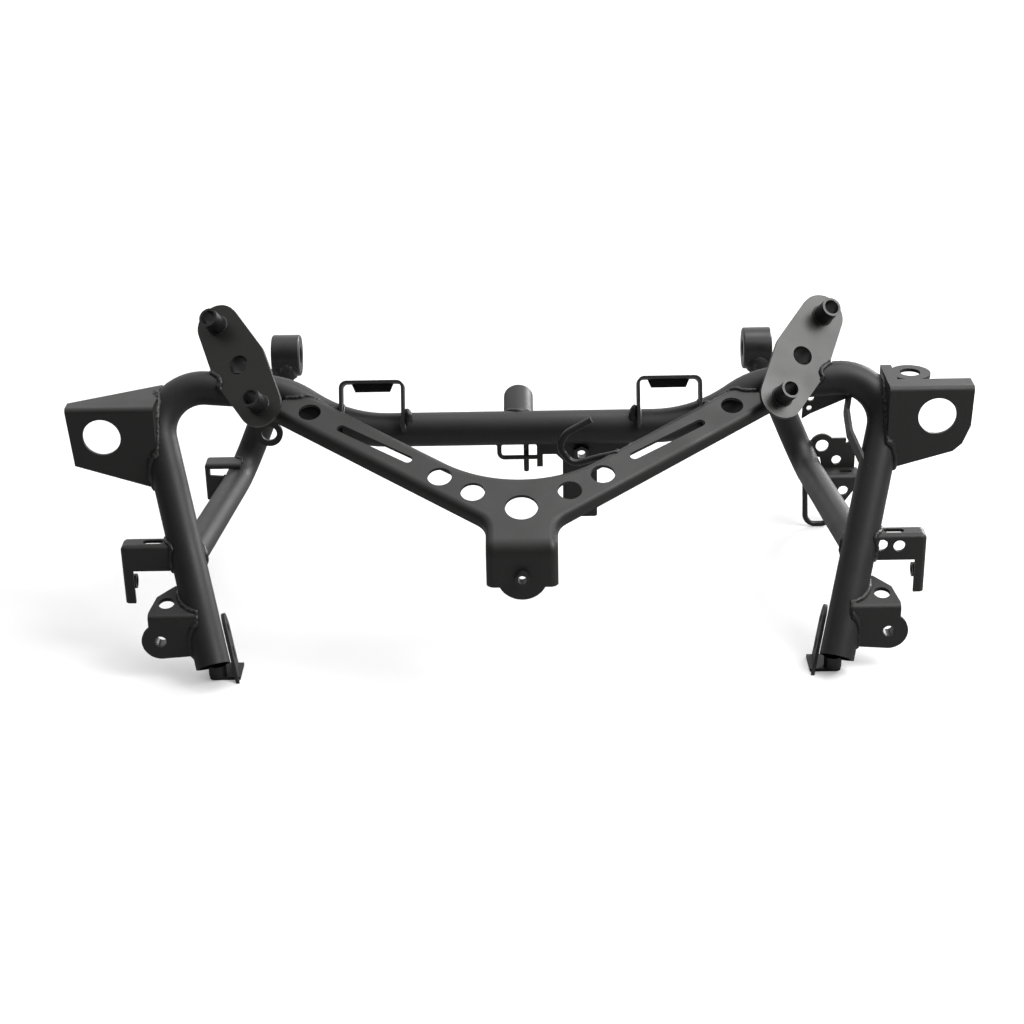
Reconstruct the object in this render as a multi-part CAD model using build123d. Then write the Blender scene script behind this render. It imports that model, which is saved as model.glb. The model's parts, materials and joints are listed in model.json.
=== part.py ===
from build123d import *
import math
import os

# A welded steel stay that carries a motorcycle's front fairing.
# Millimetres, +Z up, +Y to the rear; seen from the front, +X is to the right.
# The stay stands on its two front feet and on the wire guide of the right rear tube.

# The whole: the bend and end points below are given from these
overall_width = 665.5
overall_depth = 334.8
overall_height = 242.5
front_y = -117.8
half_width = overall_width / 2

# Tubes and rods
hoop_dia = 25.4
hoop_wall = 2.0
rear_tube_dia = 22.2
rear_tube_wall = 1.8
stub_dia = 22.2
stub_wall = 1.8
rod_dia = 5.0
guide_rod_dia = 4.5
small_rod_dia = 3.4

# Pressed sheet
sheet = 2.5
strap_sheet = 2.2
fold_radius = 4.0

# Hoop: corner points of its centre line on the right side, mirrored for the left
foot_y, foot_z = front_y + 44.8, 13.0
shoulder_x, shoulder_y, shoulder_z = half_width - 53.25, foot_y + 118.0, overall_height - 53.3
foot_x = shoulder_x - 51.5
dip_x, dip_y, dip_z = shoulder_x - 103.5, shoulder_y - 2.0, shoulder_z - 8.0
cross_x, cross_y, cross_z = dip_x - 44.5, dip_y - 11.0, dip_z - 26.7
shoulder_bend = 32.0
dip_bend = 60.0
cross_bend = 110.0

# Rear tubes and their bosses
rear_start = 0.37
rear_bend = 28.0
boss_dia = 34.0
boss_x, boss_y, boss_z = foot_x - 34.3, front_y + overall_depth - boss_dia / 2, overall_height - 89.5
rear_low_x, rear_low_y, rear_low_z = foot_x + 10.7, boss_y + 5.0, boss_z - 106.5
boss_bore = 14.0
boss_length = 23.0
boss_chamfer = 1.0

# Stub tube on the back of the cross run
stub_x = -2.0
stub_length = 42.0
stub_rise = 12.0

# Pressed V bracket, measured in its own plane from its large middle hole
nose_y, nose_z = front_y + 40.8, dip_z - 41.9
nose_tilt = 22.0
arm_angle = 35.4
arm_width = 32.0
arm_end_x = cross_x + 34.5
crotch_drop = 9.0
crotch_radius = 95.0
flange_depth = 10.0
flange_radius = 6.0
tab_width = 50.6
tab_side_radius = 14.0
tab_bend_v = -30.0
tab_bend_radius = 12.0
tab_flange_depth = 5.0
lobe_radius = 18.0
lobe_z = nose_z - 37.0
tab_end_z = lobe_z - 8.3
nose_hole_dia = 23.5
arm_holes = [(34.5, 15.7, 17.5), (58.3, 31.3, 17.5), (155.7, 99.5, 16.5)]
slot_length, slot_width = 66.0, 7.0
slot_x, slot_v = 106.5, 65.5
slot_angle = 33.2
tab_collar_dia, tab_collar_bore, tab_collar_length = 10.0, 6.2, 5.5

# Mirror plates: an oblong plate on each end of the top run, with two collars
mirror_sheet = 3.0
mirror_x = shoulder_x - 70.5
mirror_y, mirror_z = dip_y - 2.0, overall_height - 38.0
mirror_pitch = 78.6
mirror_end_radius = 16.8
mirror_mid_radius = 21.8
mirror_hole = 15.0
mirror_normal = (0.311, -0.685, 0.657)
mirror_long = (-0.446, -0.716, -0.536)
collar_dia, collar_bore, collar_length = 14.5, 11.0, 16.0

# Side plates
side_y = shoulder_y - 41.0
side_inner_x = shoulder_x - 10.0
side_left_outer, side_right_outer = half_width + 1.75, half_width - 1.75
side_left_top, side_right_top = shoulder_z - 3.2, shoulder_z + 3.3
side_hole_dia = 28.0
side_hole_drop = 22.5
side_left_hole = (side_left_outer - 25.5, side_left_top - side_hole_drop)
side_right_hole = (side_right_outer - 26.0, side_right_top - side_hole_drop)
side_flange_depth = 48.0
side_flange_outer = 13.0
side_right_flange = 18.0
ear_radius = 15.0
ear_hole = 15.0
ear_x, ear_y = side_inner_x + 19.5, side_y + 32.0

# Slot brackets on the outer side of the legs
slot_bracket_x = foot_x + 68.5
slot_bracket_y, slot_bracket_z = foot_y + 40.0, 91.5
slot_bracket_depth = 14.0
slot_web_height = 20.0
slot_tip_z = slot_bracket_z - 46.5
slot_nut_z = slot_bracket_z - 32.5
slot_nut_dia, slot_nut_bore, slot_nut_length = 11.0, 6.4, 6.0
slot_nut_clear = fold_radius - sheet
slot_web_holes = [
    (slot_bracket_x - 20.2, slot_bracket_z - 8.7, 8.8),
    (slot_bracket_x - 33.0, slot_bracket_z - 8.0, 8.8),
]

# Lower brackets
lower_y = foot_y + 6.0
lower_fold_z = 51.0
lower_tongue = 34.0
lower_rise = 8.0
lower_outer_x = foot_x + 46.0
lower_lobe_x, lower_lobe_z, lower_lobe_radius = lower_outer_x - 8.0, 30.5, 14.0
lower_hole = 8.7
lower_top_hole = 11.8
lower_collar_dia, lower_collar_length = 14.0, 9.0

# Foot straps
strap_width = 22.0
strap_height = 44.0
strap_set_back = 15.0
foot_tab_length = 23.0
foot_nut_dia, foot_nut_height = 13.0, 9.0

# Staple brackets on the cross run
staple_outer_x = cross_x + 2.0
staple_inner_x = staple_outer_x - 46.0
staple_top_z = cross_z + 36.5
staple_y = cross_y + 5.0
staple_width = 15.0
staple_corner = 4.5
staple_lean = 25.0

# Plate that hangs under the cross run, with its pocket
hang_y = cross_y - 1.0
hang_x0, hang_x1 = 13.5, 81.0
hang_low_z = cross_z - 21.5
pocket_x0, pocket_x1 = 31.0, 57.0
pocket_low_z = hang_low_z - 52.0
pocket_depth = 11.0
plate_nut_x, plate_nut_z = 45.0, hang_low_z + 1.5
plate_nut_across, plate_nut_bore, plate_nut_height = 13.0, 6.6, 5.0


def mirrored(shape):
    """The same piece on the left side."""
    return mirror(shape, about=Plane.YZ)


def largest(shape):
    """The piece that stays when a cope has cut scraps from it."""
    return max(shape.solids(), key=lambda s: s.volume)


def swept(points, radii, section):
    """A section carried along straight runs joined by tangent bends."""
    path = FilletPolyline(*points, radius=radii)
    start = Plane(origin=path @ 0, z_dir=path % 0)
    return sweep(start * section, path)


def tube(points, radii, dia, wall):
    """A bent tube, hollow from end to end."""
    return swept(points, radii, Circle(dia / 2) - Circle(dia / 2 - wall))


def rod(points, radii, dia):
    """A bent solid rod."""
    return swept(points, radii, Circle(dia / 2))


def ring(plane, dia, bore, length):
    """A plain collar that stands on a plane."""
    return extrude(plane * (Circle(dia / 2) - Circle(bore / 2)), amount=length)


def lerp(a, b, t):
    """The point a share t of the way from a to b."""
    return tuple(p + (q - p) * t for p, q in zip(a, b))


foot = (foot_x, foot_y, foot_z)
shoulder = (shoulder_x, shoulder_y, shoulder_z)
dip = (dip_x, dip_y, dip_z)
cross = (cross_x, cross_y, cross_z)
leg_dir = (Vector(*shoulder) - Vector(*foot)).normalized()
right_run = [foot, shoulder, dip, cross]
left_run = [(-x, y, z) for x, y, z in reversed(right_run)]
hoop_points = right_run + left_run
hoop_radii = [shoulder_bend, dip_bend, cross_bend, cross_bend, dip_bend, shoulder_bend]
rear_low = (rear_low_x, rear_low_y, rear_low_z)
boss = (boss_x, boss_y, boss_z)
rear_points = [lerp(foot, shoulder, rear_start), rear_low, boss]


def leg_at(z):
    """The leg's centre at a height."""
    return Vector(*lerp(foot, shoulder, (z - foot_z) / (shoulder_z - foot_z)))


def hoop_tube():
    return tube(hoop_points, hoop_radii, hoop_dia, hoop_wall)


def hoop_core():
    """The hoop without its bore, to cope what meets it."""
    return rod(hoop_points, hoop_radii, hoop_dia)


def boss_core(length):
    plane = Plane(origin=boss, z_dir=(1, 0, 0))
    return plane * Cylinder(boss_dia / 2, length)


def rear_boss():
    plane = Plane(origin=boss, z_dir=(1, 0, 0))
    body = plane * Cylinder(boss_dia / 2, boss_length)
    body = chamfer(body.edges().filter_by(GeomType.CIRCLE), boss_chamfer)
    return body - plane * Cylinder(boss_bore / 2, boss_length * 2)


def rear_core():
    return rod(rear_points, rear_bend, rear_tube_dia)


def rear_tube(core):
    """Coped at both ends: on the leg, and on the boss."""
    body = tube(rear_points, rear_bend, rear_tube_dia, rear_tube_wall)
    return largest(body - core - boss_core(boss_length * 3))


def stub_tube(core):
    lean = math.radians(stub_rise)
    plane = Plane(origin=(stub_x, cross_y, cross_z), z_dir=(0, math.cos(lean), math.sin(lean)))
    return largest(ring(plane, stub_dia, stub_dia - 2 * stub_wall, stub_length) - core)


nose_lean = math.radians(nose_tilt)
nose_plane = Plane(
    origin=(0, nose_y, nose_z),
    x_dir=(1, 0, 0),
    z_dir=(0, -math.sin(nose_lean), math.cos(nose_lean)),
)


def nose_outline():
    """The V's flat outline, run on past the bend of its tab."""
    slope = math.tan(math.radians(arm_angle))
    across = Vector(math.sin(math.radians(arm_angle)), -math.cos(math.radians(arm_angle)))
    top = Vector(arm_end_x, crotch_drop + slope * arm_end_x)
    low = top + across * arm_width
    half = tab_width / 2
    root = low.Y - slope * (low.X - half)
    tip = tab_bend_v - flange_depth
    right = [(top.X, top.Y), (low.X, low.Y), (half, root), (half, tip)]
    left = [(-x, y) for x, y in reversed(right)]
    face = make_face(Polyline(*right, *left, (0, crotch_drop), close=True))
    crotch = [v for v in face.vertices() if abs(v.X) < 1]
    face = fillet(crotch, crotch_radius)
    roots = [v for v in face.vertices() if abs(abs(v.X) - half) < 0.01 and abs(v.Y - root) < 0.01]
    return fillet(roots, tab_side_radius)


def nose_shell():
    """The pressed channel: a flat web with its edges rolled down."""
    body = extrude(nose_outline(), amount=-flange_depth)
    top = body.faces().sort_by(Axis.Z)[-1]
    tip = tab_bend_v - flange_depth
    rolled = []
    for edge in top.edges():
        middle = edge @ 0.5
        at_tip = abs(middle.Y - tip) < 0.1
        at_arm_end = abs(middle.X) > arm_end_x
        if not at_tip and not at_arm_end:
            rolled.append(edge)
    body = fillet(rolled, flange_radius)
    ends = [body.faces().sort_by(Axis.Z)[0]]
    for face in body.faces():
        centre = face.center()
        if abs(centre.X) > arm_end_x and abs(face.normal_at().Z) < 0.1:
            ends.append(face)
        elif abs(centre.Y - tip) < 0.1 and abs(face.normal_at().Y) > 0.9:
            ends.append(face)
    return offset(body, amount=-sheet, openings=ends)


def nose_bracket(core):
    flat = nose_shell()
    half_deep = 4 * flange_depth
    trim = Pos(0, tab_bend_v + 8, -tab_flange_depth) * Box(
        tab_width + 2, half_deep, half_deep, align=(Align.CENTER, Align.MAX, Align.MAX))
    beyond = Pos(0, tab_bend_v, 0) * Box(
        tab_width * 2, half_deep, half_deep, align=(Align.CENTER, Align.MAX, Align.CENTER))
    flat = flat - trim - beyond
    section = flat.faces().filter_by(lambda f: abs(f.center().Y - tab_bend_v) < 0.01)[0]
    hinge = Axis((0, tab_bend_v, -tab_bend_radius), (1, 0, 0))
    bent = revolve(section, axis=hinge, revolution_arc=90 - nose_tilt)
    body = nose_plane * (flat + bent)
    end = body.faces().sort_by(Axis.Z)[0]
    drop = end.center().Z - (lobe_z - lobe_radius)
    body = body + extrude(end, amount=drop, dir=(0, 0, -1))
    below = Plane.XZ * Pos(0, tab_end_z) * Rectangle(tab_width * 2, 60, align=(Align.CENTER, Align.MAX))
    lobe = Plane.XZ * Pos(0, lobe_z) * Circle(lobe_radius)
    cutter = extrude(below - lobe, amount=400, both=True)
    body = body - cutter
    for u, v, dia in arm_holes:
        for side in (1, -1):
            body -= nose_plane * Pos(side * u, v) * Cylinder(dia / 2, 4 * sheet)
    body -= nose_plane * Cylinder(nose_hole_dia / 2, 4 * sheet)
    for side in (1, -1):
        place = nose_plane * Pos(side * slot_x, slot_v) * Rot(0, 0, side * slot_angle)
        body -= extrude(place * SlotOverall(slot_length, slot_width), amount=2 * sheet, both=True)
    bore = Plane.XZ * Pos(0, lobe_z) * Circle(tab_collar_bore / 2)
    body -= extrude(bore, amount=400, both=True)
    return largest(body - core)


def tab_collar(bracket):
    face_y = min(v.Y for v in bracket.vertices() if v.Z < lobe_z)
    plane = Plane(origin=(0, face_y, lobe_z), z_dir=(0, -1, 0))
    return ring(plane, tab_collar_dia, tab_collar_bore, tab_collar_length)


mirror_plane = Plane(origin=(mirror_x, mirror_y, mirror_z), x_dir=mirror_long, z_dir=mirror_normal)


def mirror_plate(core):
    half = mirror_pitch / 2
    circles = [Pos(side * half, 0) * Circle(mirror_end_radius) for side in (1, -1)]
    circles.append(Circle(mirror_mid_radius))
    outline = make_hull([c.edges()[0] for c in circles])
    body = extrude(mirror_plane * outline, amount=mirror_sheet / 2, both=True)
    body = body - mirror_plane * Cylinder(mirror_hole / 2, 4 * mirror_sheet)
    for side in (1, -1):
        body -= mirror_plane * Pos(side * half, 0) * Cylinder(collar_bore / 2, 4 * mirror_sheet)
    return largest(body - core)


def mirror_collar(side):
    plane = mirror_plane * Pos(side * mirror_pitch / 2, 0, mirror_sheet / 2)
    return plane * extrude(Circle(collar_dia / 2) - Circle(collar_bore / 2), amount=collar_length)


def side_plate(core, outline, hole, trim):
    """A front sheet with its top and inner edges folded back to the hoop."""
    face = Plane.XZ.offset(-side_y) * make_face(Polyline(*outline, close=True))
    body = extrude(face, amount=-side_flange_depth)
    top_edge = body.edges().filter_by(Axis.X).group_by(Axis.Y)[0].sort_by(Axis.Z)[-1]
    body = fillet(top_edge, fold_radius)
    opened = []
    for f in body.faces():
        n = f.normal_at()
        if n.Y > 0.9 or n.Z < -0.3 or n.X > 0.3:
            opened.append(f)
    body = offset(body, amount=-sheet, openings=opened)
    body -= Plane.XZ.offset(-side_y) * Pos(*hole) * Cylinder(side_hole_dia / 2, 4 * sheet)
    return largest(body - trim - core)


def side_plate_right(core):
    top, outer = side_right_top, side_right_outer
    outline = [
        (side_inner_x, top), (outer, top), (outer - 1, top - 30.5), (outer - 6.5, top - 44.5),
        (outer - 13, top - 50.5), (side_inner_x, top - 64.5)]
    back = side_y + side_right_flange
    trim = Pos(side_inner_x + 8, back, top) * Box(100, 100, 100, align=(Align.MIN, Align.MIN, Align.CENTER))
    trim -= Pos(ear_x, ear_y, top) * Cylinder(ear_radius, 2 * fold_radius)
    trim += Pos(ear_x, ear_y, top) * Cylinder(ear_hole / 2, 4 * fold_radius)
    return side_plate(core, outline, side_right_hole, trim)


def side_plate_left(core):
    top, outer = side_left_top, side_left_outer
    outline = [(side_inner_x, top), (outer, top), (outer - 3.5, top - 45), (side_inner_x, top - 65)]
    corner = (outer, side_y + side_flange_outer)
    beyond_x, beyond_y = outer + side_flange_depth, side_y + 2 * side_flange_depth
    wedge = Polyline(
        (side_inner_x, side_y + side_flange_depth), corner, (beyond_x, corner[1]),
        (beyond_x, beyond_y), (side_inner_x, beyond_y), close=True)
    trim = extrude(Plane.XY.offset(top - 60) * make_face(wedge), amount=100)
    return mirrored(side_plate(core, outline, side_left_hole, trim))


slot_nut_y = slot_bracket_y + sheet + slot_nut_dia / 2 + slot_nut_clear


def slot_bracket(core, web_holes):
    """Top flange, front web and an end flange that hangs down, folded from one sheet."""
    inner = foot_x
    middle = (inner + slot_bracket_x) / 2
    size = slot_bracket_x - inner
    height = slot_bracket_z - slot_tip_z
    block = Pos(middle, slot_bracket_y, slot_bracket_z) * Box(
        size, slot_bracket_depth, height, align=(Align.CENTER, Align.MIN, Align.MAX))
    front = block.faces().sort_by(Axis.Y)[0]
    outer = block.faces().sort_by(Axis.X)[-1]
    folds = [e for e in outer.edges() if e.center().Z > slot_bracket_z - 1]
    for e in front.edges():
        if e.center().Z > slot_bracket_z - 1 or e.center().X > slot_bracket_x - 1:
            folds.append(e)
    block = fillet(folds, fold_radius)
    faces = block.faces()
    opened = [faces.sort_by(Axis.Z)[0], faces.sort_by(Axis.Y)[-1], faces.sort_by(Axis.X)[0]]
    body = offset(block, amount=-sheet, openings=opened)
    web_low = Pos(inner, slot_bracket_y, slot_bracket_z - slot_web_height) * Box(
        size - 2 * fold_radius, slot_bracket_depth, height, align=(Align.MIN, Align.CENTER, Align.MAX))
    place = Plane.XY.offset(slot_bracket_z) * Pos(slot_bracket_x - 23.5, slot_bracket_y + 8.5)
    slot = place * SlotOverall(15, 6)
    body = body - web_low - extrude(slot, amount=2 * sheet, both=True)
    for x, z, dia in web_holes:
        bore = Plane.XZ.offset(-slot_bracket_y) * Pos(x, z) * Circle(dia / 2)
        body -= extrude(bore, amount=2 * sheet, both=True)
    through = Pos(slot_bracket_x, slot_nut_y, slot_nut_z) * Rot(0, 90, 0)
    body -= through * Cylinder(slot_nut_bore / 2, 4 * sheet)
    body -= Pos(0, 0, 20) * through * Cylinder(2.4, 4 * sheet)
    return largest(body - core)


def slot_nut():
    plane = Plane(
        origin=(slot_bracket_x - sheet, slot_nut_y, slot_nut_z), z_dir=(-1, 0, 0))
    return ring(plane, slot_nut_dia, slot_nut_bore, slot_nut_length)


def lower_bracket(core):
    """A front plate with a round lobe, and a tongue folded back to the leg."""
    bend = fold_radius
    back = lower_y + lower_tongue
    outline = make_face(Polyline(
        (lower_y, 8), (lower_y, lower_fold_z), (back, lower_fold_z + lower_rise),
        (back, lower_fold_z + lower_rise - sheet), (lower_y + sheet, lower_fold_z - sheet),
        (lower_y + sheet, 8), close=True))
    outer = [v for v in outline.vertices() if abs(v.X - lower_y) < 0.01 and v.Y > 20]
    outline = fillet(outer, bend)
    inner = [v for v in outline.vertices() if abs(v.X - lower_y - sheet) < 0.01 and v.Y > 20]
    outline = fillet(inner, bend - sheet)
    body = extrude(Plane.YZ * outline, amount=lower_outer_x + lower_lobe_radius)
    inner_x = leg_at(lower_fold_z).X
    front = make_face(Polyline(
        (foot_x + 4, 19), (lower_lobe_x, lower_lobe_z - lower_lobe_radius), (lower_outer_x, 41),
        (lower_outer_x, lower_fold_z + 20), (inner_x, lower_fold_z + 20), (inner_x, lower_fold_z - 12),
        close=True))
    front += Pos(lower_lobe_x, lower_lobe_z) * Circle(lower_lobe_radius)
    body = body & extrude(Plane.XZ * front, amount=200, both=True)
    edge = lower_outer_x
    plan = make_face(Polyline(
        (foot_x, lower_y), (edge + 20, lower_y), (edge + 20, lower_y + 5), (edge, lower_y + 5),
        (edge - 4, back - 12), (edge - 16, back), (inner_x, back), (inner_x, lower_y + 5),
        (foot_x, lower_y + 5), close=True))
    body = body & extrude(plan, amount=100)
    bore = Plane.XZ * Pos(lower_lobe_x, lower_lobe_z) * Circle(lower_hole / 2)
    body -= extrude(bore, amount=200, both=True)
    body -= Pos(lower_outer_x - 12, lower_y + 15, lower_fold_z) * Cylinder(lower_top_hole / 2, 20)
    return largest(body - core)


def lower_collar():
    plane = Plane(origin=(lower_lobe_x, lower_y + sheet, lower_lobe_z), z_dir=(0, 1, 0))
    return ring(plane, lower_collar_dia, lower_hole, lower_collar_length)


strap_normal = (Vector(-1, 0, 0) + leg_dir * leg_dir.X).normalized()


def foot_strap(core):
    """An upright strap against the inner side of the tube's end, with a tab turned under it."""
    ground = Vector(*lerp(foot, shoulder, -foot_z / (shoulder_z - foot_z)))
    plane = Plane(origin=ground + strap_normal * (hoop_dia / 2), x_dir=leg_dir, z_dir=strap_normal)
    rearward = 1 if plane.y_dir.Y > 0 else -1
    slant = strap_set_back * rearward * plane.y_dir.Z / leg_dir.Z
    origin = plane.origin + plane.y_dir * (rearward * strap_set_back) - leg_dir * slant
    plane = Plane(origin=origin, x_dir=leg_dir, z_dir=strap_normal)
    blank = Pos(strap_height / 2 - 10, 0) * SlotOverall(strap_height + 20, strap_width)
    upright = extrude(plane * blank, amount=sheet)
    hole = Pos(strap_height - strap_width / 2, 0) * Circle(3.2)
    window = Pos(14, 0) * SlotOverall(9, 5)
    upright -= extrude(plane * hole, amount=2 * sheet, both=True)
    upright -= extrude(plane * window, amount=2 * sheet, both=True)
    above_floor = Box(
        2 * overall_width, 2 * overall_depth, overall_height, align=(Align.CENTER, Align.CENTER, Align.MIN))
    upright = upright & above_floor
    inner = upright.bounding_box().min.X
    tab = Pos(inner, origin.Y + 2, 0) * Box(
        foot_tab_length, strap_width, sheet, align=(Align.MIN, Align.CENTER, Align.MIN))
    corner = tab.edges().filter_by(Axis.Z).sort_by(Axis.X)[-2:]
    tab = fillet(corner, fold_radius)
    return largest(upright + tab - core)


def foot_nut(core):
    ground = lerp(foot, shoulder, -foot_z / (shoulder_z - foot_z))
    plane = Plane.XY.offset(sheet) * Pos(ground[0] + 2, ground[1] + strap_set_back)
    return largest(plane * ring(Plane.XY, foot_nut_dia, foot_nut_dia / 2, foot_nut_height) - core)


def staple_bracket(core, bracket):
    """A strap bent into a square arch, with a short skirt under its top."""
    lean = math.radians(staple_lean)
    facing = (0, math.cos(lean), -math.sin(lean))
    plane = Plane(origin=(0, staple_y, staple_top_z), x_dir=(1, 0, 0), z_dir=facing)
    deep = staple_top_z - cross_z
    x0, x1 = staple_inner_x, staple_outer_x
    down = -1 if plane.y_dir.Z > 0 else 1
    arch = FilletPolyline(
        (x0, down * deep), (x0, 0), (x1, 0), (x1, down * deep), radius=staple_corner)
    band = offset(arch, amount=strap_sheet / 2, side=Side.BOTH)
    strip = extrude(plane * make_face(band.edges()), amount=staple_width / 2, both=True)
    skirt = make_face(Polyline(
        (x0 + 7, 0), (x1 - 7, 0), (x1 - 10, down * 7), (x0 + 10, down * 7), close=True))
    skirt = extrude(plane * Pos(0, 0, staple_width / 2 - strap_sheet) * skirt, amount=strap_sheet)
    return largest(strip + skirt - core - bracket)


def cable_hook(bracket):
    """A bent rod, open at the top, whose tail lies on the V's upper edge."""
    y = nose_y + 57
    above = [42.2, 31.7, 20.7, 7.2, 12.2, 18.2]
    plan = [(51, y), (32, y), (27.5, y), (37, y), (53, y - 1), (70, y - 6)]
    points = [(px, py, nose_z + rise) for (px, py), rise in zip(plan, above)]
    return largest(rod(points, [14, 9, 9, 14], rod_dia) - bracket)


def guide_loop(core):
    """A small wire loop below the cross run, closed by the hanging plate's edge."""
    low = hang_low_z - 2
    points = [(-16.7, hang_y, cross_z), (-16.7, hang_y, low), (hang_x0 - 2, hang_y, low)]
    return largest(rod(points, 4, small_rod_dia) - core)


def locating_pin(core):
    low = hang_low_z - 16
    upright = Cylinder(2, cross_z - low, align=(Align.CENTER, Align.CENTER, Align.MIN))
    pin = Pos(3.5, hang_y + 6, low) * upright
    return largest(fillet(pin.edges().sort_by(Axis.Z)[0], 1) - core)


def hanging_plate(core):
    """A plate under the cross run with a folded edge and an open pocket below."""
    front = hang_y
    face = make_face(Polyline(
        (hang_x0, cross_z), (hang_x0, hang_low_z), (pocket_x0 - 5, hang_low_z), (pocket_x0, hang_low_z - 5),
        (pocket_x1, hang_low_z - 5), (pocket_x1 + 2, hang_low_z), (hang_x1, hang_low_z),
        (hang_x1, cross_z), close=True))
    sheet_face = extrude(Plane.XZ.offset(-front) * face, amount=-sheet)
    wing = Pos(hang_x0 - 2, front, hang_low_z - 10) * Box(
        2 + sheet, 20, cross_z - hang_low_z + 10, align=Align.MIN)
    pocket = Pos(pocket_x0, front, pocket_low_z) * Box(
        pocket_x1 - pocket_x0, pocket_depth, hang_low_z - pocket_low_z, align=Align.MIN)
    upright = pocket.edges().filter_by(Axis.Z).sort_by(Axis.Y)[:2]
    pocket = fillet(upright, 3)
    opened = [pocket.faces().sort_by(Axis.Y)[-1], pocket.faces().sort_by(Axis.Z)[-1]]
    pocket = offset(pocket, amount=-sheet, openings=opened)
    body = sheet_face + wing + pocket
    bore = Plane.XZ.offset(-front) * Pos(plate_nut_x, plate_nut_z) * Circle(plate_nut_bore / 2)
    body -= extrude(bore, amount=2 * sheet, both=True)
    return largest(body - core)


def plate_nut():
    plane = Plane(origin=(plate_nut_x, hang_y, plate_nut_z), z_dir=(0, -1, 0))
    outline = RegularPolygon(plate_nut_across / 2, 6) - Circle(plate_nut_bore / 2)
    return extrude(plane * outline, amount=plate_nut_height)


def eye_tab(core):
    """A flat eye that hangs from the hoop beside the left mirror plate."""
    x, y, z = -dip_x - 14.5, dip_y, dip_z - 31.7
    outline = Circle(10.3) + Pos(0, 12) * Rectangle(15, 24)
    face = Plane(origin=(x, y, z), x_dir=(1, 0, 0), z_dir=(0, -1, 0)) * (outline - Circle(5.8))
    return largest(extrude(face, amount=sheet) - core)


def rear_bracket_left(core):
    """A small folded bracket with a window beside the left rear tube."""
    x0, y, top = rear_low_x - 2.7, rear_low_y - 29.0, rear_low_z + 19.5
    x1, low = x0 + 30.5, top - 32.0
    block = Pos(x0, y, low) * Box(x1 - x0, 16, top - low, align=Align.MIN)
    front = block.faces().sort_by(Axis.Y)[0]
    outer = block.faces().sort_by(Axis.X)[-1]
    folds = [e for e in front.edges() if e.center().Z > top - 1 or e.center().X > x1 - 1]
    folds += [e for e in outer.edges() if e.center().Z > top - 1]
    block = fillet(folds, 3)
    faces = block.faces()
    opened = [faces.sort_by(Axis.Z)[0], faces.sort_by(Axis.Y)[-1], faces.sort_by(Axis.X)[0]]
    body = offset(block, amount=-strap_sheet, openings=opened)
    window = make_face(Polyline(
        (x0, top - 4), (x1 - 4, top - 4), (x1 - 4, top - 10), (x0, top - 12), close=True))
    below = make_face(Polyline((x0, low), (x1 - 3, low), (x0, top - 8), close=True))
    body -= extrude(Plane.XZ.offset(-y) * (window + below), amount=2 * sheet, both=True)
    return mirrored(largest(body - mirrored(core)))


def gusset_right(core, strap):
    """A flat corner plate below the top run, measured from the dip's point."""
    face = make_face(Polyline((36, -29.2), (37, 0.8), (72, 2.8), (69, -13.2), (42, -25.2), close=True))
    face -= Pos(42.2, -12.7) * Circle(2.4)
    face -= Pos(41.2, -20.7) * Circle(2.0)
    plane = Plane.XZ.offset(-dip_y - 4) * Pos(dip_x, dip_z)
    return largest(extrude(plane * face, amount=-sheet) - core - strap)


def ear_plate_right(core):
    """A flat plate with two holes and an upright ear, measured from the right rear tube's bend."""
    face = Pos(13.3, 18) * Circle(10.5)
    face += make_face(Polyline(
        (11.3, 8.5), (11.3, 27.5), (19.3, 24.5), (33.3, 24.5), (33.3, 19.5), (38.3, 22.5), (41.3, 22.5),
        (41.3, -6.5), (15.3, -6.5), close=True))
    face -= Pos(13.3, 18) * Circle(5.4)
    face -= Pos(25.8, 5) * Circle(4)
    plane = Plane.XZ.offset(6 - rear_low_y) * Pos(rear_low_x, rear_low_z)
    return largest(extrude(plane * face, amount=-sheet) - core)


def flange_bracket_right(core):
    """A flange with a slot and a face that hangs below it, measured from the right rear tube's bend."""
    block = Pos(5.3, -24, -34.5) * Box(38, 18, 32.5, align=Align.MIN)
    fold = [e for e in block.faces().sort_by(Axis.Y)[0].edges() if e.center().Z > -2.5]
    block = fillet(fold, fold_radius)
    opened = []
    for f in block.faces():
        n = f.normal_at()
        if abs(n.X) > 0.9 or n.Y > 0.9 or n.Z < -0.9:
            opened.append(f)
    body = offset(block, amount=-sheet, openings=opened)
    cut = make_face(Polyline((-40, -46), (17.8, -46), (17.8, -8.5), (-40, -8.5), close=True))
    cut += make_face(Polyline((25.3, -34.5), (61.3, -34.5), (61.3, -8.5), (43.3, -8.5), close=True))
    body -= extrude(Plane.XZ.offset(24) * cut, amount=2 * sheet, both=True)
    body -= extrude(Plane.XY.offset(-2) * Pos(32.8, -14) * SlotOverall(11, 4.5), amount=2 * sheet, both=True)
    body -= extrude(Plane.XZ.offset(24) * Pos(29.8, -15.5) * Circle(4.2), amount=2 * sheet, both=True)
    return largest(Pos(*rear_low) * body - core)


def wavy_strap_right(core):
    """A narrow strap from the top run down to the leg, measured from the shoulder's point."""
    bends = [(-32.5, -1, -7.2), (-36, -9, -27.2), (-35, -23, -39.2), (-26.5, -39, -56.2)]
    path = FilletPolyline(*[Vector(*shoulder) + Vector(*bend) for bend in bends], radius=8)
    start = Plane(origin=path @ 0, x_dir=(0, 1, 0), z_dir=path % 0)
    return largest(sweep(start * Rectangle(12, strap_sheet), path) - core)


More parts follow.
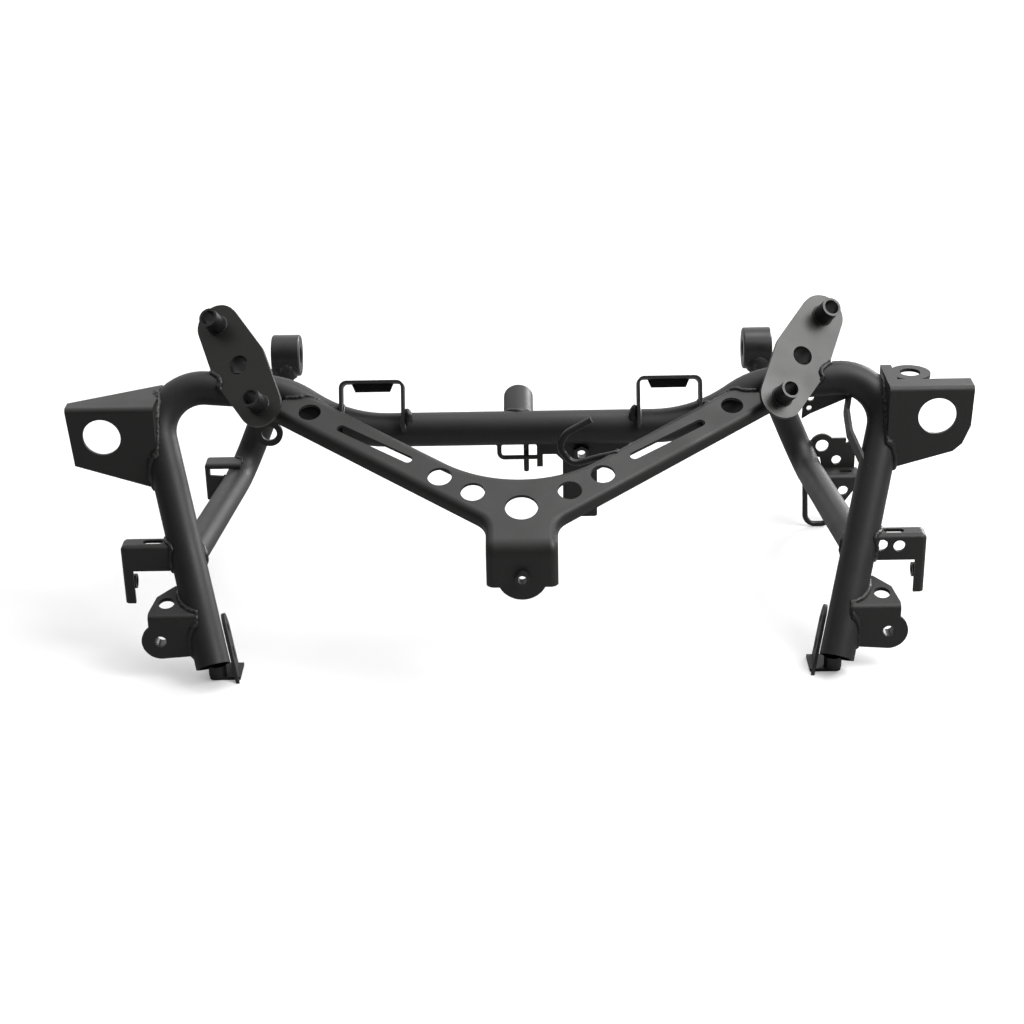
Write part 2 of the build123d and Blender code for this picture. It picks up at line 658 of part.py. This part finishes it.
def wire_guide_right(core):
    """A wire loop under the right rear tube, the stay's third foot."""
    low = guide_rod_dia / 2
    x, y, z = rear_low_x, rear_low_y - 27.0, rear_low_z
    points = [
        (x - 3.7, y, z + 9.5), (x - 1.2, y, low), (x + 20.3, y, low), (x + 21.3, y, z - 12.5),
        (x + 7.3, y, z + 5.5)]
    return largest(rod(points, [9, 9, 6], guide_rod_dia) - core)


def build():
    """Every piece, by name."""
    hoop = hoop_core()
    rear = rear_core()
    rears = rear + mirrored(rear)
    core = hoop + rears
    bracket = nose_bracket(hoop)
    left_right = {
        "rear_tube": rear_tube(hoop),
        "rear_boss": rear_boss(),
        "mirror_plate": mirror_plate(hoop),
        "mirror_collar_upper": mirror_collar(-1),
        "mirror_collar_lower": mirror_collar(1),
        "slot_bracket_nut": slot_nut(),
        "lower_bracket": lower_bracket(core),
        "lower_bracket_collar": lower_collar(),
        "foot_strap": foot_strap(hoop),
        "foot_nut": foot_nut(hoop),
        "staple_bracket": staple_bracket(hoop, bracket),
    }
    pieces = {
        "hoop_tube": hoop_tube(),
        "stub_tube": stub_tube(hoop),
        "nose_bracket": bracket,
        "nose_tab_collar": tab_collar(bracket),
        "side_plate_right": side_plate_right(hoop),
        "side_plate_left": side_plate_left(hoop),
        "slot_bracket_right": slot_bracket(core, slot_web_holes),
        "slot_bracket_left": mirrored(slot_bracket(core, [])),
        "cable_hook": cable_hook(bracket),
        "guide_loop": guide_loop(hoop),
        "locating_pin": locating_pin(hoop),
        "hanging_plate": hanging_plate(hoop),
        "hanging_plate_nut": plate_nut(),
        "eye_tab_left": eye_tab(core),
        "rear_bracket_left": rear_bracket_left(core),
        "gusset_right": gusset_right(core, wavy_strap_right(core)),
        "ear_plate_right": ear_plate_right(core),
        "flange_bracket_right": flange_bracket_right(core),
        "wavy_strap_right": wavy_strap_right(core),
        "wire_guide_right": wire_guide_right(core),
    }
    for name, piece in left_right.items():
        pieces[name + "_right"] = piece
        pieces[name + "_left"] = mirrored(piece)
    return pieces


def centred(pieces):
    """The pieces moved together, so the origin is under the middle of the whole."""
    boxes = [piece.bounding_box() for piece in pieces.values()]
    middle_x = (min(b.min.X for b in boxes) + max(b.max.X for b in boxes)) / 2
    middle_y = (min(b.min.Y for b in boxes) + max(b.max.Y for b in boxes)) / 2
    shift = Pos(-middle_x, -middle_y, -min(b.min.Z for b in boxes))
    return {name: shift * piece for name, piece in pieces.items()}


pieces = centred(build())
os.makedirs("parts", exist_ok=True)
for name, piece in pieces.items():
    export_step(piece, f"parts/{name}.step")
boxes = [piece.bounding_box() for piece in pieces.values()]
print(len(pieces), "pieces")
print("least", [round(min(tuple(b.min)[i] for b in boxes), 3) for i in range(3)])
print("most", [round(max(tuple(b.max)[i] for b in boxes), 3) for i in range(3)])
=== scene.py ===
# %% [markdown]
# # A motorcycle fairing stay in satin black
# The stay is a welded frame of bent tube, pressed sheet and small bent rods. Its pieces
# come ready in their true sizes, so this lesson adds what a welder and a coater add:
# the weld beads, the coating, and the light of a small studio.
#
# We load the pieces first.

# %% Load the stay
import bpy
import json
import math
from mathutils import Matrix, Vector
from mathutils.bvhtree import BVHTree


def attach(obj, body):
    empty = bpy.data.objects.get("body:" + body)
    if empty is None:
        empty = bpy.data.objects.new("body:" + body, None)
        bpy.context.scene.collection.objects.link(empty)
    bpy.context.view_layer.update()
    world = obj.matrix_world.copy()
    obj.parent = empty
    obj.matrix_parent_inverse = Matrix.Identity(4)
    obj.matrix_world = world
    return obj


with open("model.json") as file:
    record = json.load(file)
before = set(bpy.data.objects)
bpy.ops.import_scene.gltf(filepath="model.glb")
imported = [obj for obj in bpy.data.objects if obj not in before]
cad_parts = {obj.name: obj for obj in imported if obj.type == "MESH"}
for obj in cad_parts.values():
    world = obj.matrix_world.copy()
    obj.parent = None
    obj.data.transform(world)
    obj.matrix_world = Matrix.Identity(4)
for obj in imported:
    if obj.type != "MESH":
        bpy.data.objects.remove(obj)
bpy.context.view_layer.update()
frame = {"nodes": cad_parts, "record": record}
nodes = frame["nodes"]

# %% [markdown]
# ## The camera
# The stay is seen from the front and a little above, from about a metre and a half. A
# camera could be tracked to an empty, but a fixed place, a pitch, a turn and a roll are
# four plain numbers that can be matched to a picture one at a time.

# %% Place the camera
mm = 0.001
look_at = Vector((-5.99, -49.59, 99.9)) * mm
distance = 1492.6 * mm
pitch = math.radians(24.88)
turn = math.radians(0.78)
roll = math.radians(-1.22)

bpy.ops.object.select_all(action="DESELECT")
back = Matrix.Rotation(turn, 3, "Z") @ Vector((0, -math.cos(pitch), math.sin(pitch)))
across = Matrix.Rotation(turn, 3, "Z") @ Vector((1, 0, 0))
upward = back.cross(across)
across, upward = (across * math.cos(roll) + upward * math.sin(roll),
                  upward * math.cos(roll) - across * math.sin(roll))
bpy.ops.object.camera_add(location=look_at + back * distance)
camera = bpy.context.object
camera.name = "camera"
camera.rotation_euler = Matrix((across, upward, back)).transposed().to_euler()
sensor_mm, focal_px, picture_px = 36, 2000, 1024
camera.data.sensor_width = sensor_mm
camera.data.lens = sensor_mm * focal_px / picture_px
bpy.context.scene.camera = camera
print("lens in mm", round(camera.data.lens, 1))

# %% [markdown]
# ## One way to write a colour, one way to add a node
# Paint charts give colours as sRGB hex values, while the shader wants linear light. One
# function turns the first into the second. A second one adds a node, sets its inputs and
# joins its links, so that each finish below reads like a short recipe.

# %% Two helpers for the finishes
def colour(hex_value):
    """An sRGB hex value as linear light."""
    channels = [int(hex_value[i:i + 2], 16) / 255 for i in (1, 3, 5)]
    return [c / 12.92 if c <= 0.04045 else ((c + 0.055) / 1.055) ** 2.4 for c in channels] + [1]


def add(tree, kind, settings=None, **inputs):
    """A node of a kind. An input is a value, or an output of another node."""
    node = tree.nodes.new(kind)
    for key, value in (settings or {}).items():
        setattr(node, key, value)
    for key, value in inputs.items():
        place = int(key[1:]) if key[0] == "i" and key[1:].isdigit() else key.replace("_", " ")
        if isinstance(value, bpy.types.NodeSocket):
            tree.links.new(value, node.inputs[place])
        else:
            node.inputs[place].default_value = value
    return node


def new_finish(name):
    """An empty material with its shader, its output and its Object coordinates."""
    finish = bpy.data.materials.new(name)
    finish.use_nodes = True
    tree = finish.node_tree
    tree.nodes.clear()
    shader = add(tree, "ShaderNodeBsdfPrincipled")
    output = add(tree, "ShaderNodeOutputMaterial", Surface=shader.outputs["BSDF"])
    place = add(tree, "ShaderNodeTexCoord").outputs["Object"]
    return finish, tree, shader, output, place


# %% [markdown]
# ## Satin black coating
# The steel is dipped and baked in a thin black coating. It has the IOR of any resin, 1.5,
# and a satin roughness of 0.34 to 0.50. Close up it is never one flat black: the film has a fine
# orange peel a millimetre or two across, it dulls in soft patches a few centimetres wide,
# and dust leaves pale specks in it. Each pattern below takes its scale from such a size.
# The scene is in metres, so a feature of 2 mm needs a noise scale of 1 / 0.002.

# %% Mix the coating
speck_mm = 1.1


def coating(name, base, dull, roughness, peel_mm, peel_height_mm, patch_mm):
    """A satin black coating over steel. The two hex values are the film and its dull patches."""
    finish, tree, shader, output, place = new_finish(name)
    patches = add(tree, "ShaderNodeTexNoise", Vector=place, Scale=1 / (patch_mm * mm),
                  Detail=4.0, Roughness=0.6)
    shade = add(tree, "ShaderNodeMix", {"data_type": "RGBA"}, i0=patches.outputs["Fac"],
                i6=colour(base), i7=colour(dull))
    specks = add(tree, "ShaderNodeTexNoise", Vector=place, Scale=1 / (speck_mm * mm), Detail=1.0)
    dust = add(tree, "ShaderNodeMapRange", Value=specks.outputs["Fac"],
               i1=0.735, i2=0.80, i3=0.0, i4=0.20)
    dusted = add(tree, "ShaderNodeMix", {"data_type": "RGBA"}, i0=dust.outputs[0],
                 i6=shade.outputs[2], i7=colour("#8c8a86"))
    tree.links.new(dusted.outputs[2], shader.inputs["Base Color"])
    sheen = add(tree, "ShaderNodeMapRange", Value=patches.outputs["Fac"], i1=0.3, i2=0.7,
                i3=roughness - 0.05, i4=roughness + 0.07)
    tree.links.new(sheen.outputs[0], shader.inputs["Roughness"])
    shader.inputs["IOR"].default_value = 1.5
    peel = add(tree, "ShaderNodeTexNoise", Vector=place, Scale=1 / (peel_mm * mm), Detail=2.0)
    bump = add(tree, "ShaderNodeBump", Height=peel.outputs["Fac"], Strength=0.5,
               Distance=peel_height_mm * mm)
    tree.links.new(bump.outputs[0], shader.inputs["Normal"])
    return finish


tube_black = coating("satin_black_coated_tube", "#18181a", "#222224", 0.50, 2.2, 0.05, 35)
sheet_black = coating("satin_black_coated_sheet", "#1d1d1c", "#272726", 0.48, 1.6, 0.05, 28)
# The mirror plates' paler, greener base colour is a painted reflection of the key lamp, not a different
# coating.
plate_black_painted_reflection = coating("satin_black_plate_painted_reflection", "#252522", "#2c2c29", 0.34, 1.8, 0.03, 40)
rod_black = coating("satin_black_coated_rod", "#1b1b1c", "#262627", 0.38, 1.2, 0.03, 15)
turned_black = coating("satin_black_coated_turned_steel", "#1c1c1d", "#272728", 0.34, 1.4, 0.03, 12)

# %% [markdown]
# ## Which piece gets which coating
# The pieces name their material slots, so a table from slot to finish is enough. The
# coating is the same, but it lies smoother on the flat mirror plates than on bent sheet,
# and the plates' base is painted a little paler and greener, a painted reflection of the key lamp.

# %% Coat the pieces
finish_of = {"tube": tube_black, "sheet": sheet_black, "rod": rod_black,
             "fastener": turned_black, "plate": plate_black_painted_reflection}
slot_of = {p["node"]: p["material_slot"] for p in frame["record"]["subparts"]}
for name, node in nodes.items():
    finish = finish_of["plate" if name.startswith("mirror_plate") else slot_of[name]]
    for place in range(max(1, len(node.material_slots))):
        if node.material_slots:
            node.material_slots[place].material = finish
        else:
            node.data.materials.append(finish)
print("coated", len(nodes), "pieces with", len(finish_of), "finishes")

# %% [markdown]
# ## Smooth tubes, sharp folds
# The pieces arrive as flat facets. Smoothing every edge would blur the folds, and no
# smoothing leaves stripes on the tubes, so only edges flatter than 30 degrees are smoothed.

# %% Shade the pieces
bpy.ops.object.select_all(action="DESELECT")
for node in nodes.values():
    node.select_set(True)
    bpy.context.view_layer.objects.active = node
bpy.ops.object.shade_smooth_by_angle(angle=math.radians(30))
bpy.ops.object.select_all(action="DESELECT")

# %% [markdown]
# ## The studio
# The picture has a white floor that runs into a white ground, a soft light that comes from
# above and behind, and soft shadows beside the feet. The room is brightest behind the stay
# and dim in front of it, which keeps the upright faces dark and the tubes softly shaded. The
# floor's own white could be made by more light, but that would wash out the stay. Here the
# camera alone sees the floor and the world lifted to white, through Light Path, while the
# lamps stay at a plain level. The floor is lifted less near the stay, to keep its shadow.

# %% Build the studio
scene = bpy.context.scene
scene.view_settings.view_transform = "Standard"

world = bpy.data.worlds.new("white_room")
scene.world = world
world.use_nodes = True
tree = world.node_tree
tree.nodes.clear()
ray = add(tree, "ShaderNodeLightPath").outputs
seen = add(tree, "ShaderNodeMath", {"operation": "MAXIMUM"},
           i0=ray["Is Camera Ray"], i1=ray["Is Transmission Ray"])
way = add(tree, "ShaderNodeTexCoord").outputs["Generated"]
brightest_way = (0.22, 0.66, 0.72)
nearness = add(tree, "ShaderNodeVectorMath", {"operation": "DOT_PRODUCT"}, i0=way, i1=brightest_way)
bright = add(tree, "ShaderNodeMapRange", {"interpolation_type": "SMOOTHSTEP"},
             Value=nearness.outputs["Value"], i1=-0.2, i2=0.95, i3=0.07, i4=1.15)
room = add(tree, "ShaderNodeBackground", Color=colour("#ffffff"), Strength=bright.outputs[0])
white = add(tree, "ShaderNodeBackground", Color=colour("#ffffff"), Strength=1.0)
mixed = add(tree, "ShaderNodeMixShader", i0=seen.outputs[0], i1=room.outputs[0], i2=white.outputs[0])
add(tree, "ShaderNodeOutputWorld", Surface=mixed.outputs[0])

bpy.ops.mesh.primitive_plane_add(size=14, location=(0, 0, 0))
floor = bpy.context.object
floor.name = "floor"
finish, tree, shader, output, place = new_finish("white_paper_floor")
shader.inputs["Roughness"].default_value = 0.9
shader.inputs["Specular IOR Level"].default_value = 0.0
ray = add(tree, "ShaderNodeLightPath").outputs
paper = add(tree, "ShaderNodeMix", {"data_type": "RGBA"}, i0=ray["Is Camera Ray"],
            i6=colour("#949494"), i7=colour("#e2e2e2"))
tree.links.new(paper.outputs[2], shader.inputs["Base Color"])
away = add(tree, "ShaderNodeVectorMath", {"operation": "LENGTH"}, i0=place)
extra = add(tree, "ShaderNodeMapRange", {"interpolation_type": "SMOOTHSTEP"},
            Value=away.outputs["Value"], i1=0.5, i2=1.9, i3=0.24, i4=1.0)
lift = add(tree, "ShaderNodeEmission", Color=colour("#ffffff"), Strength=extra.outputs[0])
none = add(tree, "ShaderNodeEmission", Color=colour("#000000"), Strength=0.0)
seen = add(tree, "ShaderNodeMixShader", i0=ray["Is Camera Ray"], i1=none.outputs[0], i2=lift.outputs[0])
both = add(tree, "ShaderNodeAddShader", i0=shader.outputs[0], i1=seen.outputs[0])
tree.links.new(both.outputs[0], output.inputs["Surface"])
floor.data.materials.append(finish)


def soft_box(name, place, aim, width, height, watts):
    """A large soft lamp that faces a point."""
    bpy.ops.object.light_add(type="AREA", location=place)
    lamp = bpy.context.object
    lamp.name = name
    lamp.data.shape = "RECTANGLE"
    lamp.data.size, lamp.data.size_y = width, height
    lamp.data.energy = watts
    lamp.rotation_euler = (Vector(aim) - Vector(place)).to_track_quat("-Z", "Y").to_euler()
    return lamp


middle = Vector((0, 0, 0.1))
soft_box("key_right", (0.95, -0.40, 1.18), (0.2, 0, 0.2), 0.75, 0.75, 14)
soft_box("low_behind", (1.7, 1.8, 0.75), (-0.2, 0.1, 0.1), 1.3, 0.7, 44)
soft_box("overhead", (0.3, 0.35, 1.5), middle, 0.8, 0.5, 5)

# %% [markdown]
# ## Weld beads
# Every joint on the stay is a weld, and a weld has a bead: a rounded, slightly rippled
# rope of steel that fills the corner. Beads could be modelled one by one, but the pieces
# already hold the seams: each is a row of edges on one piece that lies on its neighbour.
# So the seam's edges are copied, turned into a curve, given a round section, and roughened.

# %% Find a seam
def surface(node):
    """A node's surface, to measure distances to."""
    mesh = node.data
    return BVHTree.FromPolygons([v.co for v in mesh.vertices], [p.vertices for p in mesh.polygons])


least_fold = 0.35  # radians: flatter edges lie inside a smooth face


def seam_edges(carried, carrier, gap):
    """The sharp edges of one piece that lie within a gap of another."""
    tree = surface(carrier)
    mesh = carried.data
    merged = {}
    spot = [merged.setdefault(tuple(round(c, 6) for c in v.co), len(merged)) for v in mesh.vertices]
    points = list(merged)
    near = []
    for p in points:
        hit = tree.find_nearest(Vector(p), gap)
        near.append(hit[0] is not None)
    sides = {}
    for face in mesh.polygons:
        corners = [spot[v] for v in face.vertices]
        for a, b in zip(corners, corners[1:] + corners[:1]):
            if a != b:
                sides.setdefault((min(a, b), max(a, b)), []).append(face.normal.copy())
    found = []
    for (a, b), normals in sides.items():
        if near[a] and near[b] and len(normals) == 2 and normals[0].angle(normals[1], 0) > least_fold:
            found.append((a, b))
    return points, found


seam_gap = 0.4 * mm
points, found = seam_edges(nodes["stub_tube"], nodes["hoop_tube"], seam_gap)
print("the stub tube's seam has", len(found), "edges")

# %% Lay a bead along a seam
usual_radius_mm = 1.9


def bead(name, carried, carrier, radius_mm, least_mm=6):
    """A weld bead where one piece meets another."""
    points, found = seam_edges(nodes[carried], nodes[carrier], seam_gap)
    links = {}
    for a, b in found:
        links.setdefault(a, []).append(b)
        links.setdefault(b, []).append(a)
    # Short loose rows, such as the inside of a sheet's cut end, get no bead.
    rows, left = [], set(links)
    while left:
        start = min(left, key=lambda i: (len(links[i]), points[i]))
        row, stack = {start}, [start]
        while stack:
            for other in links[stack.pop()]:
                if other in left and other not in row:
                    row.add(other)
                    stack.append(other)
        left -= row
        rows.append(row)
    kept = set()
    for row in rows:
        length = sum((Vector(points[a]) - Vector(points[b])).length for a, b in found if a in row)
        if length > least_mm * mm:
            kept |= row
    edges = [e for e in found if e[0] in kept]
    if not edges:
        print(name, "has no seam")
        return None
    order = {p: i for i, p in enumerate(sorted(kept))}
    mesh = bpy.data.meshes.new(name)
    mesh.from_pydata([points[i] for i in sorted(kept)], [(order[a], order[b]) for a, b in edges], [])
    line = bpy.data.objects.new(name, mesh)
    scene.collection.objects.link(line)
    bpy.ops.object.select_all(action="DESELECT")
    line.select_set(True)
    bpy.context.view_layer.objects.active = line
    bpy.ops.object.convert(target="CURVE")
    line = bpy.context.object
    line.data.bevel_depth = radius_mm * mm
    line.data.bevel_resolution = 2
    line.data.use_fill_caps = True
    bpy.ops.object.convert(target="MESH")
    line = bpy.context.object
    remesh = line.modifiers.new("melt", "REMESH")
    remesh.mode = "VOXEL"
    remesh.voxel_size = 0.55 * mm * (radius_mm / usual_radius_mm)
    bpy.ops.object.modifier_apply(modifier=remesh.name)
    smooth = line.modifiers.new("settle", "SMOOTH")
    smooth.iterations = 4
    bpy.ops.object.modifier_apply(modifier=smooth.name)
    ripple = line.modifiers.new("ripple", "DISPLACE")
    ripple.texture = ripples
    ripple.strength = 0.7 * mm * (radius_mm / usual_radius_mm)
    bpy.ops.object.modifier_apply(modifier=ripple.name)
    bpy.ops.object.shade_smooth()
    line.data.materials.clear()
    line.data.materials.append(weld_steel)
    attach(line, "root")
    print(name, "edges", len(edges), "faces", len(line.data.polygons))
    return line


ripples = bpy.data.textures.new("weld_ripples", "CLOUDS")
ripples.noise_scale = 2.6 * mm
ripples.noise_depth = 1

# %% [markdown]
# ## Coated weld metal
# A bead is coated with the rest, but slag and heat leave it rougher, and here and there the
# coating is thin and pale grey shows. The pale places are blotches about 11 mm apart, chosen
# by a soft noise whose finer octaves fray their edges.

# %% Mix the weld finish
weld_steel, tree, shader, output, place = new_finish("coated_weld_steel")
broad = add(tree, "ShaderNodeTexNoise", Vector=place, Scale=1 / (11 * mm), Detail=5.0, Roughness=0.65)
bare = add(tree, "ShaderNodeMapRange", Value=broad.outputs["Fac"], i1=0.58, i2=0.68, i3=0.0, i4=0.7)
shade = add(tree, "ShaderNodeMix", {"data_type": "RGBA"}, i0=bare.outputs[0],
            i6=colour("#1c1c1c"), i7=colour("#77746f"))
tree.links.new(shade.outputs[2], shader.inputs["Base Color"])
shader.inputs["Roughness"].default_value = 0.42
shader.inputs["IOR"].default_value = 1.5
grain = add(tree, "ShaderNodeTexNoise", Vector=place, Scale=1 / (0.8 * mm), Detail=3.0)
bump = add(tree, "ShaderNodeBump", Height=grain.outputs["Fac"], Strength=0.6, Distance=0.15 * mm)
tree.links.new(bump.outputs[0], shader.inputs["Normal"])

# %% [markdown]
# ## Where the stay is welded
# The tubes meet in rings, and the sheets meet the tubes in runs. Each call below names one
# seam: the piece whose edges are followed, the piece that it sits on, and the bead's radius.

# %% Lay the beads
for side in ("right", "left"):
    bead(f"weld_rear_tube_leg_{side}", f"rear_tube_{side}", "hoop_tube", 2.8)
    bead(f"weld_rear_tube_boss_{side}", f"rear_tube_{side}", f"rear_boss_{side}", 3.2)
    bead(f"weld_mirror_plate_{side}", f"mirror_plate_{side}", "hoop_tube", 2.2)
    bead(f"weld_side_plate_{side}", f"side_plate_{side}", "hoop_tube", 2.7)
    bead(f"weld_slot_bracket_{side}", f"slot_bracket_{side}", "hoop_tube", 2.1)
    bead(f"weld_lower_bracket_{side}", f"lower_bracket_{side}", "hoop_tube", 2.3)
    bead(f"weld_foot_strap_{side}", f"foot_strap_{side}", "hoop_tube", 1.5)
    bead(f"weld_staple_{side}", f"staple_bracket_{side}", "hoop_tube", 1.4)
    for end in ("upper", "lower"):
        bead(f"weld_{end}_collar_{side}", f"mirror_collar_{end}_{side}", f"mirror_plate_{side}", 1.1, 40)
    bead(f"weld_slot_nut_{side}", f"slot_bracket_nut_{side}", f"slot_bracket_{side}", 0.9, 30)
bead("weld_stub_tube", "stub_tube", "hoop_tube", 2.2)
bead("weld_nose_bracket", "nose_bracket", "hoop_tube", 2.0)
bead("weld_hanging_plate", "hanging_plate", "hoop_tube", 1.5)
bead("weld_eye_tab", "eye_tab_left", "hoop_tube", 1.4)
bead("weld_rear_bracket_left", "rear_bracket_left", "rear_tube_left", 1.4)
bead("weld_gusset_right", "gusset_right", "hoop_tube", 1.3)
bead("weld_ear_plate_right", "ear_plate_right", "rear_tube_right", 1.4)
bead("weld_flange_bracket_right", "flange_bracket_right", "rear_tube_right", 1.4)
bead("weld_cable_hook", "cable_hook", "nose_bracket", 1.2)
bead("weld_guide_loop", "guide_loop", "hoop_tube", 1.1)
bead("weld_locating_pin", "locating_pin", "hoop_tube", 1.1)
bead("weld_wire_guide_right", "wire_guide_right", "rear_tube_right", 1.3)

# %% [markdown]
# ## Lumps of weld
# Where a welder ends a short run, the metal stays as a lump. Each starts as a ball that is
# scaled in edit mode and roughened by the same ripples as the beads. The stay's middle lies
# 1.75 mm to the right of the origin, because its right plate is the shorter one.

# %% Add the lumps
def lump(name, place, half_size):
    """A rounded lump of weld metal, its place and half size in mm."""
    bpy.ops.object.select_all(action="DESELECT")
    bpy.ops.mesh.primitive_ico_sphere_add(subdivisions=4, radius=mm, location=Vector(place) * mm)
    ball = bpy.context.object
    ball.name = name
    bpy.ops.object.mode_set(mode="EDIT")
    bpy.ops.mesh.select_all(action="SELECT")
    bpy.ops.transform.resize(value=half_size)
    bpy.ops.object.mode_set(mode="OBJECT")
    bpy.ops.object.transform_apply(location=True, rotation=True, scale=True)
    ripple = ball.modifiers.new("ripple", "DISPLACE")
    ripple.texture = ripples
    ripple.strength = 1.0 * mm
    bpy.ops.object.modifier_apply(modifier=ripple.name)
    bpy.ops.object.shade_smooth()
    ball.data.materials.append(weld_steel)
    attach(ball, "root")


middle_x = 1.75
for side, way in (("right", 1), ("left", -1)):
    lump(f"lump_staple_outer_{side}", (middle_x + way * 138.0, -22.5, 170), (5.0, 4.2, 6.5))
    lump(f"lump_staple_inner_{side}", (middle_x + way * 84.4, -24.0, 165), (4.2, 4.5, 9.0))
    lump(f"lump_boss_{side}", (middle_x + way * 194.5, 137.0, 143), (9.0, 5.5, 10.0))

# %% [markdown]
# ## A bush behind each mirror plate
# The large hole in the middle of a mirror plate looks into a short bush. It starts as a
# primitive cylinder, its ends are deleted in edit mode, and a Solidify modifier gives the
# open tube its wall. The plate's own corners tell where its middle is and which way it faces.

# %% Add the bushes
def plate_frame(node):
    """The middle of a flat plate and its normal, found from its largest flat faces."""
    flat = {}
    for face in node.data.polygons:
        way = tuple(round(c, 2) for c in face.normal)
        flat[way] = flat.get(way, 0) + face.area
    way = Vector(max(flat, key=lambda k: (round(flat[k], 7), k[2])))
    way = way if way.z > 0 else -way
    points = [v.co for v in node.data.vertices]
    ups = [p.dot(way) for p in points]
    low = Vector([min(p[i] for p in points) for i in range(3)])
    high = Vector([max(p[i] for p in points) for i in range(3)])
    centre = (low + high) / 2
    return centre + way * (min(ups) - centre.dot(way)), way.normalized()


bush_bore, bush_wall, bush_length = 15.2 * mm, 2.4 * mm, 20 * mm
for side in ("right", "left"):
    back_face, facing = plate_frame(nodes[f"mirror_plate_{side}"])
    bpy.ops.object.select_all(action="DESELECT")
    bpy.ops.mesh.primitive_cylinder_add(vertices=48, radius=bush_bore / 2, depth=bush_length)
    bush = bpy.context.object
    bush.name = f"mirror_bush_{side}"
    bpy.ops.object.mode_set(mode="EDIT")
    bpy.ops.mesh.select_mode(type="FACE")
    bpy.ops.mesh.select_all(action="DESELECT")
    bpy.ops.object.mode_set(mode="OBJECT")
    for face in bush.data.polygons:
        face.select = len(face.vertices) > 4
    bpy.ops.object.mode_set(mode="EDIT")
    bpy.ops.mesh.delete(type="ONLY_FACE")
    bpy.ops.object.mode_set(mode="OBJECT")
    wall = bush.modifiers.new("wall", "SOLIDIFY")
    wall.thickness = bush_wall
    wall.offset = 1.0
    bpy.ops.object.modifier_apply(modifier=wall.name)
    bush.rotation_euler = facing.to_track_quat("Z", "Y").to_euler()
    bush.location = back_face - facing * bush_length / 2
    bpy.ops.object.transform_apply(location=True, rotation=True, scale=True)
    bpy.ops.object.shade_smooth_by_angle(angle=math.radians(30))
    bush.data.materials.append(turned_black)
    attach(bush, "root")
    print(bush.name, "at", [round(v / mm, 1) for v in back_face])
